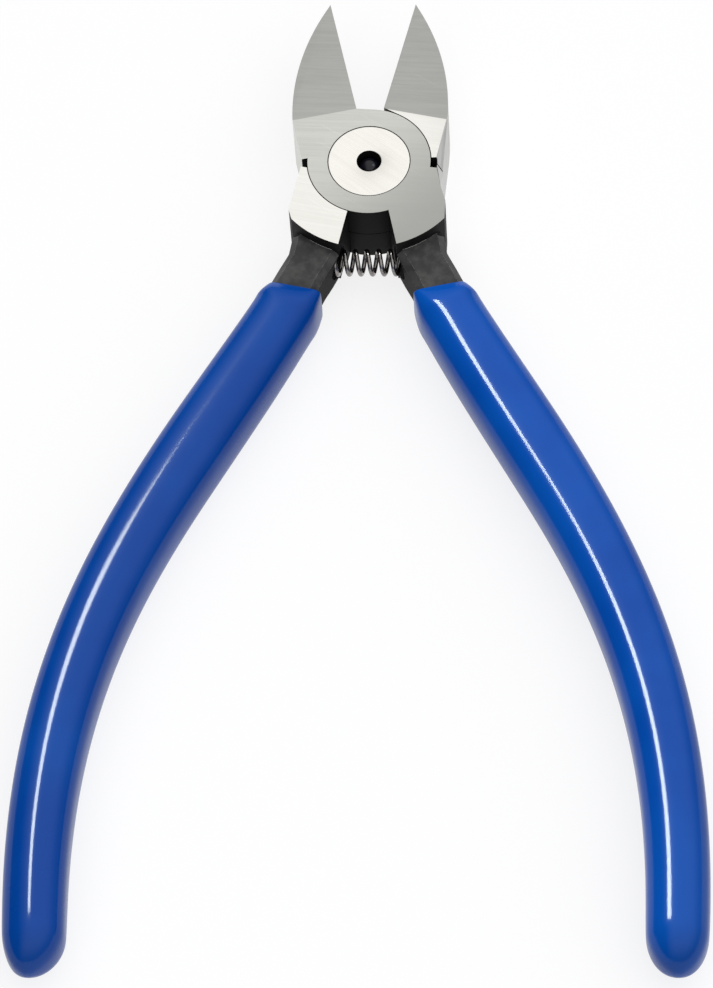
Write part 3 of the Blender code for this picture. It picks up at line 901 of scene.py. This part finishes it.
    def core(self, name: str, spare: float) -> Workpiece:
        """The thin steel from under the shoulder to the far end of the handle.

        Args:
            name: Name of the new piece.
            spare: How far its surface is grown, for the pocket that holds it.

        Returns:
            The piece, with chamfered front and back edges.
        """
        line = self.handle
        span = self.core_to - self.core_from
        places = [self.core_from + span * k / self.core_steps for k in range(self.core_steps + 1)]
        reach = [line.core_half_width(t) + spare for t in places]
        outer = [line.point(t) + line.across(t) * half for t, half in zip(places, reach)]
        inner = [line.point(t) - line.across(t) * half for t, half in zip(places, reach)]
        end = outer[-1] - inner[-1]
        tip = line.point(self.core_to) + line.along(self.core_to) * (self.core_end_length + spare)
        corners = [tip + end * self.core_tip_share, tip - end * self.core_tip_share]
        neck = [Vector(corner) + Vector((spare, 0.0)) for corner in self.neck]
        neck_inside = [Vector(corner) - Vector((spare, 0.0)) for corner in self.neck_inside]
        stops = [*neck[1:], *outer, *corners, *reversed(inner), *neck_inside]
        half = self.tang_thickness / 2 + spare
        moves = [Line(tuple(stop)) for stop in stops]
        piece = Workpiece.traced(name, tuple(neck[0]), moves, self.middle - half, self.middle + half)
        with piece.editing("EDGE"):
            piece.pick_edges(lambda a, b: abs(a.z - b.z) < self.seam)
            bevel_edges(self.tang_chamfer)
        return piece

    def _fillet_foot(self, piece: Workpiece) -> None:
        """Fillet the foot of the boss where it stands on the front of the tang."""
        top = self.middle + self.tang_thickness / 2

        def on_foot(point: Vector) -> bool:
            """Whether a point lies on the foot's line."""
            off_boss = abs(point.xy.length - self.boss_radius)
            return abs(point.z - top) < self.flat_slop and off_boss < self.round_slop

        with piece.editing("EDGE"):
            piece.pick_edges(lambda first, second: on_foot(first) and on_foot(second))
            bevel_edges(self.foot_fillet)

    def _bore(self, piece: Workpiece) -> None:
        """Bore the pivot hole and turn the seat of the pivot's disc."""
        top = self.thickness + self.overrun
        piece.carve(Workpiece.cylinder("bore", self.bore_radius, -self.overrun, top))
        if self.in_front:
            low, high = self.thickness - self.seat_depth, top
        else:
            low, high = -self.overrun, self.seat_depth
        piece.carve(Workpiece.cylinder("seat", self.seat_radius, low, high, self.seat_sides))

    def _drill_pocket(self, piece: Workpiece) -> None:
        """Drill the blind pocket that holds one end of the spring, with the levers at rest."""
        drill = Workpiece.cylinder("drill", self.pocket_radius, 0.0, self.pocket_reach, self.pocket_sides)
        drill.obj.rotation_euler.y = math.radians(90.0 * self.side.value)
        drill.obj.location = (0.0, self.spring_y * MM, self.middle * MM)
        bpy.ops.object.transform_apply(location=True, rotation=True)
        piece.carve(drill)

    def _slot_of(self, centre: Vector, normal: Vector) -> Steel:
        """The finish of a face, with painted shade on walls and recesses and a painted highlight on part
        of the boss's foot.

        Args:
            centre: Its centre in the closed frame of the front lever, in millimetres.
            normal: Its normal in the same frame.

        Returns:
            The material slot.
        """
        radius = math.hypot(centre.x, centre.y)
        on_face = not self.flat_slop <= centre.z <= self.thickness - self.flat_slop
        in_head = radius < self.boss_radius + self.place_slop
        if in_head and on_face and centre.y < self.facet_y + self.place_slop:
            return Steel.GROUND
        at_heel = centre.y > self.heel_from_y and radius < self.heel_radius + 0.2
        if centre.y > self.facet_y + self.place_slop or at_heel:
            return Steel.BLADE
        if centre.y < self.flank_end_y - self.shoulder_slop or not in_head:
            above_tang = centre.z - self.middle - self.tang_thickness / 2
            on_foot = max(abs(radius - self.boss_radius), abs(above_tang)) < self.foot_fillet
            # the boss's foot fillet: a painted highlight on its inner part, painted shade on its outer
            # part
            if on_foot and self.foot_slopes[0] < normal.z < self.foot_slopes[1]:
                return Steel.WORN if centre.x < self.foot_painted_highlight_x else Steel.RECESS
            # steep walls and the boss's step are oxide painted in shade; the tang's face keeps its own
            # oxide
            on_wall = abs(normal.z) < self.steep or radius < self.boss_radius - 1.0
            return Steel.RECESS if on_wall or (in_head and above_tang > 0.01) else Steel.OXIDE
        if self.in_front and centre.x < self.flank_slop - self.flank_x and normal.x < -self.sideways:
            return Steel.GROUND
        if abs(centre.x) > self.flank_x - self.flank_slop and abs(normal.x) > self.sideways:
            # the flank is ground steel above and oxide painted in shade below
            ground = centre.y > self.flank_end_y + self.shoulder_slop or normal.z > 0.2
            return Steel.FLANK if ground else Steel.RECESS
        # any other face here is oxide painted in shade
        return Steel.RECESS

    def _paint(self, piece: Workpiece) -> None:
        """Give each face the finish of its place, with painted shade on walls and recesses. Softened edges
        on oxide take the rubbed-edge finish, partly a painted highlight, where they show.
        """
        back = Matrix.Rotation(-math.radians(self.open_degrees * self.side.value), 3, "Z")
        for face in piece.obj.data.polygons:
            centre, normal = back @ face.center / MM, back @ face.normal
            centre.x *= self.side.value
            normal.x *= self.side.value
            slot = self._slot_of(centre, normal)
            # faces from the softening bevel: rubbed edges, partly a painted highlight
            worn_and_highlit = face.material_index == Steel.WORN
            if worn_and_highlit and slot is Steel.OXIDE:
                slot = Steel.WORN
            if worn_and_highlit and slot is Steel.RECESS and centre.z > self.thickness - 0.2:
                slot = Steel.GROUND
            face.material_index = int(slot)

    def build(self) -> None:
        """Model, dress and hand over the lever."""
        lever = self._head()
        lever.combine(self.core(f"{self.name}_core", 0.0), "UNION")
        self._fillet_foot(lever)
        lever.carve(self._lap_room())
        self._bore(lever)
        lever.settle(self.side, self.open_degrees)
        self._drill_pocket(lever)
        lever.weld()
        lever.dress(self.face, BLADE_STEEL, FLANK_STEEL, TANG_OXIDE, PAINTED_SHADE_OXIDE, WORN_AND_HIGHLIGHT_OXIDE)
        # softened edges take the rubbed-edge finish, which also serves as a painted highlight
        lever.soften_edges(self.edge_softening, self.sharp_degrees, 2, slot=int(Steel.WORN))
        self._paint(lever)
        lever.shade(self.smooth_degrees)
        hand_over(lever, self.body, "ground_steel", self.body)


# ---- pivot


@dataclass
class Pivot:
    """The riveted pivot: a flush disc with its sleeve, a disc at the back, and a domed pin."""

    body: str = "front_lever"
    thickness: float = 9.4
    disc_radius: float = 4.85
    disc_thickness: float = 1.6
    sleeve_radius: float = 3.0
    hole_radius: float = 1.45
    gap: float = 0.15
    rim_softening: float = 0.10
    pin_radius: float = 1.25
    pin_top: float = 8.9
    pin_dome: float = 0.95
    dome_steps: int = 9
    disc_sides: int = 128
    pin_sides: int = 64
    slop: float = 0.01
    on_axis: float = 0.05
    level: float = 0.9
    sharp_degrees: float = 40.0
    disc_smooth_degrees: float = 32.0
    pin_smooth_degrees: float = 40.0

    def _pierce(self, piece: Workpiece, low: float, high: float) -> None:
        """Open the hole between a piece's lowest and highest flat faces.

        Args:
            piece: The piece, closed by one flat face at each end.
            low: Height of the lowest face.
            high: Height of the highest face.
        """

        def at_end(centre: Vector, normal: Vector, *ends: float) -> bool:
            """Whether a face is a flat one at one of these heights."""
            return min(abs(centre.z - end) for end in ends) < self.slop and abs(normal.z) > self.level

        for end, radius in ((low, self._end_radius(piece, low)), (high, self.disc_radius)):
            with piece.editing():
                piece.pick_faces(lambda centre, normal, end=end: at_end(centre, normal, end))
                bpy.ops.mesh.inset(thickness=(radius - self.hole_radius) * MM, use_even_offset=True)
        with piece.editing():
            piece.pick_faces(
                lambda centre, normal: at_end(centre, normal, low, high)
                and centre.xy.length < self.on_axis
            )
            bpy.ops.mesh.bridge_edge_loops()

    def _end_radius(self, piece: Workpiece, height: float) -> float:
        """Radius of a piece at one height."""
        corners = [vertex.co for vertex in piece.obj.data.vertices]
        return max(co.xy.length / MM for co in corners if abs(co.z / MM - height) < self.slop)

    def build_front_disc(self) -> None:
        """The flush front disc, with the sleeve that both levers turn on."""
        low = self.thickness - self.disc_thickness
        sleeve_low = self.disc_thickness + self.gap
        disc = Workpiece.cylinder(
            "pivot_front_disc", self.disc_radius, low, self.thickness, self.disc_sides
        )
        with disc.editing():
            disc.pick_faces(lambda centre, normal: normal.z < -self.level)
            bpy.ops.mesh.inset(thickness=(self.disc_radius - self.sleeve_radius) * MM)
            extrude_up(sleeve_low - low)
        self._pierce(disc, sleeve_low, self.thickness)
        self._finish(disc, "pivot_disc")

    def build_back_disc(self) -> None:
        """The plain disc let into the back of the head."""
        disc = Workpiece.cylinder(
            "pivot_back_plate", self.disc_radius, 0.0, self.disc_thickness, self.disc_sides
        )
        self._pierce(disc, 0.0, self.disc_thickness)
        self._finish(disc, "pivot_back_disc")

    def _finish(self, disc: Workpiece, node: str) -> None:
        """Weld, soften, dress and hand over a disc, with the wall of its hole painted in shade."""
        disc.weld()
        disc.soften_edges(self.rim_softening, self.sharp_degrees, 2)
        disc.dress(DISC_STEEL, PAINTED_SHADE_OXIDE)
        # painted shade: the wall of the hole takes the near-black oxide
        for face in disc.obj.data.polygons:
            near = face.center.xy.length / MM < self.hole_radius + self.gap
            face.material_index = int(near and abs(face.normal.z) < self.level)
        disc.shade(self.disc_smooth_degrees)
        hand_over(disc, self.body, "polished_steel", node)

    def build_pin(self) -> None:
        """The black pin, its top drawn up into a low dome."""
        shoulder = self.pin_top - self.pin_dome
        pin = Workpiece.cylinder("pivot_domed_pin", self.pin_radius, 0.0, shoulder, self.pin_sides)
        with pin.editing():
            pin.pick_faces(lambda centre, normal: normal.z > self.level)
            for step in range(self.dome_steps):
                here, there = (math.radians(90.0 * k / self.dome_steps) for k in (step, step + 1))
                extrude_up(self.pin_dome * (math.sin(there) - math.sin(here)))
                if step < self.dome_steps - 1:
                    shrink = math.cos(there) / math.cos(here)
                    bpy.ops.transform.resize(value=(shrink, shrink, 1.0), center_override=ORIGIN)
            bpy.ops.mesh.merge(type="CENTER")
        pin.weld()
        pin.dress(PIN_OXIDE)
        pin.shade(self.pin_smooth_degrees)
        hand_over(pin, self.body, "black_oxide", "pivot_pin")


# ---- return spring


@dataclass
class ReturnSpring:
    """The compression coil between the two tangs, on an axis along X."""

    y: float = -11.3
    z: float = 4.7
    half_length: float = 5.5
    coil_radius: float = 1.38
    wire_radius: float = 0.28
    turns: int = 8
    wire_sides: int = 14
    steps_per_turn: int = 40
    bend_half_span: float = 4.0
    smooth_degrees: float = 60.0

    def build(self) -> None:
        """Model the coil and set it in place between the levers."""
        clear_selection()
        start = (-self.half_length * MM, 0.0, self.coil_radius * MM)
        upright = (math.radians(90.0), 0.0, 0.0)
        radius = self.wire_radius * MM
        bpy.ops.mesh.primitive_circle_add(
            vertices=self.wire_sides, radius=radius, location=start, rotation=upright
        )
        bpy.ops.object.transform_apply(location=True, rotation=True)
        spring = Workpiece("return_coil", bpy.context.object)
        pitch = 2 * self.half_length / self.turns * MM
        steps = {"steps": self.steps_per_turn, "render_steps": self.steps_per_turn}
        spring.modify("SCREW", axis="X", screw_offset=pitch, iterations=self.turns, **steps)
        with spring.editing(action="SELECT"):
            bpy.ops.mesh.fill_holes(sides=0)
        spring.obj.location = (0.0, self.y * MM, self.z * MM)
        bpy.ops.object.transform_apply(location=True)
        spring.weld(FINE_WELD)
        spring.dress(SPRING_STEEL)
        spring.shade(self.smooth_degrees, keep_flats=False)
        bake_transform(spring.obj)
        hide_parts("return_spring")
        log.info("return_coil blends between the levers with %d faces", len(spring.obj.data.polygons))


# ---- grips


@dataclass
class Grip:
    """One dipped grip: a skin that starts thin on the tang, swells, and ends in a dripped point."""

    name: str
    node: str
    side: Side
    body: str
    lever: Lever
    tip_shift: float
    mouth_y: float = -17.8
    thickness: float = 9.0
    mouth_skin: float = 0.22
    swell_length: float = 3.2
    corner_at_mouth: float = 0.95
    corner: float = 3.3
    swell_rings: int = 5
    body_rings: int = 20
    dome_rings: int = 7
    corner_steps: int = 4
    dome_from: float = 0.953
    dome_length: float = 5.1
    dome_power: float = 1.9
    nipple: float = 0.10
    pocket_spare: float = 0.04
    mouth_inset: float = 0.06
    facing_mouth: float = 0.9
    mouth_side_skin: float = 0.1
    smoothing: int = 2
    smooth_degrees: float = 50.0
    small_t: float = 0.01

    def _ring(
        self, centre: Vector, across: Vector, half_width: float, half_depth: float, corner: float
    ) -> None:
        """Add one rounded section to the mesh in edit mode, as an edge loop.

        Args:
            centre: Its centre on the handle's line.
            across: Unit direction of its width.
            half_width: Half of its width.
            half_depth: Half of its depth along Z.
            corner: Radius of its corners.
        """
        turn = math.atan2(across.y, across.x)
        bpy.ops.mesh.select_all(action="DESELECT")
        bpy.ops.mesh.primitive_plane_add(size=2 * MM)
        bpy.ops.transform.resize(value=(half_width, half_depth, 1.0), center_override=ORIGIN)
        bpy.ops.mesh.bevel(offset=corner * MM, segments=self.corner_steps, affect="VERTICES")
        bpy.ops.transform.rotate(value=-math.radians(90.0), orient_axis="X", center_override=ORIGIN)
        bpy.ops.transform.rotate(value=-turn, orient_axis="Z", center_override=ORIGIN)
        bpy.ops.transform.translate(value=(centre.x * MM, centre.y * MM, self.lever.middle * MM))
        bpy.ops.mesh.delete(type="ONLY_FACE")

    def _skin_rings(self) -> None:
        """The rings of the mouth's lip, from the thin edge to the full section."""
        line = self.lever.handle
        full_depth = self.thickness / 2
        thin_depth = self.lever.tang_thickness / 2 + self.mouth_skin
        thin_width = line.core_half_width(0.0) + self.mouth_skin + self.mouth_side_skin
        start = self._t_at_mouth()
        for k in range(self.swell_rings):
            run = k / self.swell_rings
            swell = math.sin(math.pi / 2 * run)
            t = start + self._t_length(run * self.swell_length)
            across = Vector((1.0, 0.0)).lerp(line.across(t), run).normalized()
            half_width = thin_width + (line.half_width(t) - thin_width) * swell
            half_depth = thin_depth + (full_depth - thin_depth) * swell
            corner = self.corner_at_mouth + (self.corner - self.corner_at_mouth) * run
            self._ring(line.point(t), across, half_width, half_depth, corner)

    def _t_at_mouth(self) -> float:
        """Where the handle's line crosses the mouth's plane."""
        first, second = (self.lever.handle.point(t).y for t in (0.0, self.small_t))
        return (first - self.mouth_y) / (first - second) * self.small_t

    def _t_length(self, length: float) -> float:
        """Change of t, near the mouth, for a length in millimetres."""
        first, second = (self.lever.handle.point(t) for t in (0.0, self.small_t))
        return length / (second - first).length * self.small_t

    def _body_rings(self) -> None:
        """The rings of the full section, down to where the end's dome starts."""
        line = self.lever.handle
        start = self._t_at_mouth() + self._t_length(self.swell_length)
        for k in range(self.body_rings + 1):
            t = start + (self.dome_from - start) * k / self.body_rings
            half_width = line.half_width(t)
            self._ring(line.point(t), line.across(t), half_width, self.thickness / 2, self.corner)

    def _dome_rings(self) -> None:
        """The rings of the domed end, whose point is a little off the middle."""
        line = self.lever.handle
        across, along = line.across(self.dome_from), line.along(self.dome_from)
        base = line.point(self.dome_from)
        for k in range(1, self.dome_rings + 1):
            run = math.sin(math.pi / 2 * k / self.dome_rings)
            share = max((1.0 - run**self.dome_power) ** (1.0 / self.dome_power), self.nipple)
            centre = base + along * run * self.dome_length + across * self.tip_shift * run**2
            half_width = line.half_width(self.dome_from) * share
            half_depth = self.thickness / 2 * share
            self._ring(centre, across, half_width, half_depth, self.corner * share)

    def build(self) -> None:
        """Model, dress and hand over the grip."""
        clear_selection()
        bpy.ops.mesh.primitive_plane_add(size=MM)
        grip = Workpiece(self.name, bpy.context.object)
        with grip.editing("VERT", "SELECT"):
            bpy.ops.mesh.delete(type="VERT")
            self._skin_rings()
            self._body_rings()
            self._dome_rings()
            bpy.ops.mesh.select_all(action="SELECT")
            bpy.ops.mesh.bridge_edge_loops(type="SINGLE")
            bpy.ops.mesh.select_all(action="SELECT")
            bpy.ops.mesh.fill_holes(sides=0)
            face_outwards()
            grip.pick_faces(lambda centre, normal: normal.y > self.facing_mouth)
            bpy.ops.mesh.inset(thickness=self.mouth_inset * MM)
        grip.modify("SUBSURF", levels=self.smoothing, render_levels=self.smoothing)
        grip.carve(self.lever.core(f"{self.name}_pocket", self.pocket_spare))
        grip.settle(self.side, self.lever.open_degrees)
        grip.weld(FINE_WELD)
        grip.dress(BLUE_VINYL)
        grip.shade(self.smooth_degrees, keep_flats=False)
        hand_over(grip, self.body, "blue_vinyl", self.node)


# ---- studio


@dataclass(frozen=True)
class Tube:
    """One long soft light between two points, in metres, that shines on the pieces it names."""

    name: str
    pieces: tuple[str, ...]
    start: Triple
    end: Triple
    width: float
    watts: float
    colour: Triple = (0.90, 1.0, 0.98)


PALE_BLUE = (0.80, 0.84, 1.0)
STEEL_PIECES = ("front_lever_steel", "rear_lever_steel", "pivot_front_disc", "pivot_back_plate")
TUBES = (
    Tube("left_strip", ("left_handle_grip",), (-0.26, 0.28, 0.90), (-0.23, 0.49, 0.81), 0.15, 4.8),
    Tube("right_strip", ("right_handle_grip",), (-0.37, 0.20, 0.80), (-0.37, 0.50, 0.72), 0.16, 8.0),
    Tube("coil_strip", ("return_coil",), (-0.28, 0.50, 0.48), (0.12, 0.52, 0.48), 0.12, 1.6, WHITE),
    Tube("pin_glint", ("pivot_domed_pin",), (0.34, 0.20, 0.60), (0.42, 0.24, 0.60), 0.10, 0.5, PALE_BLUE),
    Tube("side_card", STEEL_PIECES, (-0.80, -0.75, 0.42), (-0.80, 0.75, 0.42), 0.75, 2.2, WHITE),
)


@dataclass
class Studio:
    """Camera, pale floor and soft lights."""

    target: Triple = (-0.000878, -0.042792, 0.0047)
    elevation_degrees: float = 60.156
    azimuth_degrees: float = 4.890
    roll_degrees: float = -4.427
    distance: float = 0.680
    sensor_mm: float = 36.0
    focal_mm: float = 214.3
    floor_size: float = 6.0
    floor_z: float = -0.0003
    dome_up: tuple[float, ...] = (0.10, 0.75, 0.28, 1.12)
    dome_across: tuple[float, ...] = (-0.72, -0.24, 0.02, 1.0)

    def add_camera(self) -> None:
        """Stand the camera above the handles' end, looking at the middle of the pliers."""
        elevation = math.radians(self.elevation_degrees)
        azimuth = math.radians(self.azimuth_degrees)
        roll = math.radians(self.roll_degrees)
        level = math.cos(elevation)
        back = Vector((math.sin(azimuth) * level, -math.cos(azimuth) * level, math.sin(elevation)))
        right = Vector((math.cos(azimuth), math.sin(azimuth), 0.0))
        up = back.cross(right)
        rolled_right = right * math.cos(roll) + up * math.sin(roll)
        rolled_up = up * math.cos(roll) - right * math.sin(roll)
        data = bpy.data.cameras.new("camera")
        data.sensor_fit = "VERTICAL"
        data.sensor_height = self.sensor_mm
        data.lens = self.focal_mm
        data.clip_start = 0.01
        camera = bpy.data.objects.new("camera", data)
        turn = Matrix((rolled_right, rolled_up, back)).transposed().to_4x4()
        camera.matrix_world = Matrix.Translation(Vector(self.target) + back * self.distance) @ turn
        bpy.context.scene.collection.objects.link(camera)
        bpy.context.scene.camera = camera

    def add_floor(self) -> None:
        """Lay the paper under the pliers."""
        clear_selection()
        bpy.ops.mesh.primitive_plane_add(size=self.floor_size, location=(0.0, 0.0, self.floor_z))
        floor = bpy.context.object
        floor.name = "paper_floor"
        floor.data.materials.append(material_of(FLOOR_PAPER))

    def add_tube(self, tube: Tube) -> None:
        """Hang one long soft light, flagged off all but its own pieces."""
        start, end = Vector(tube.start), Vector(tube.end)
        along = (end - start).normalized()
        away = (start + end) / 2 - Vector(self.target)
        away = (away - along * away.dot(along)).normalized()
        data = bpy.data.lights.new(tube.name, "AREA")
        data.shape = "RECTANGLE"
        data.size = (end - start).length
        data.size_y = tube.width
        data.energy = tube.watts
        data.color = tube.colour
        light = bpy.data.objects.new(data.name, data)
        turn = Matrix((along, away.cross(along), away)).transposed().to_4x4()
        light.matrix_world = Matrix.Translation((start + end) / 2) @ turn
        bpy.context.scene.collection.objects.link(light)
        flagged = bpy.data.collections.new(f"lit_by_{tube.name}")
        for name in tube.pieces:
            flagged.objects.link(bpy.data.objects[name])
        light.light_linking.receiver_collection = flagged

    def add_world(self) -> None:
        """A bright dome overhead that falls off towards the horizon and the left."""
        graph = Graph(bpy.data.worlds.new("studio"), "Background")
        direction = graph.node("ShaderNodeTexCoord", {}, {})
        across = graph.node("ShaderNodeSeparateXYZ", {}, {"Vector": direction})
        up = graph.node("ShaderNodeSeparateXYZ", {}, {"Vector": direction}, output=2)
        strength = up.between(*self.dome_up) * across.between(*self.dome_across)
        bpy.context.scene.world = graph.finish(Color=WHITE, Strength=strength)

    def build(self) -> None:
        """Set up the whole studio."""
        self.add_camera()
        self.add_floor()
        self.add_world()
        for tube in TUBES:
            self.add_tube(tube)
        bpy.context.scene.view_settings.view_transform = "Standard"
        log.info("studio is set")


def main() -> None:
    """Build every piece, then the studio."""
    logging.basicConfig(level=logging.INFO, format="%(name)s: %(message)s")
    front = Lever("front_lever_steel", "front_lever", Side.FRONT, GREY_STEEL)
    rear = Lever("rear_lever_steel", "rear_lever", Side.REAR, WHITE_STEEL)
    front.build()
    rear.build()
    pivot = Pivot()
    pivot.build_front_disc()
    pivot.build_back_disc()
    pivot.build_pin()
    ReturnSpring().build()
    Grip("right_handle_grip", "right_grip", Side.FRONT, "front_lever", front, 0.2).build()
    Grip("left_handle_grip", "left_grip", Side.REAR, "rear_lever", rear, 0.7).build()
    Studio().build()


if __name__ == "__main__":
    main()
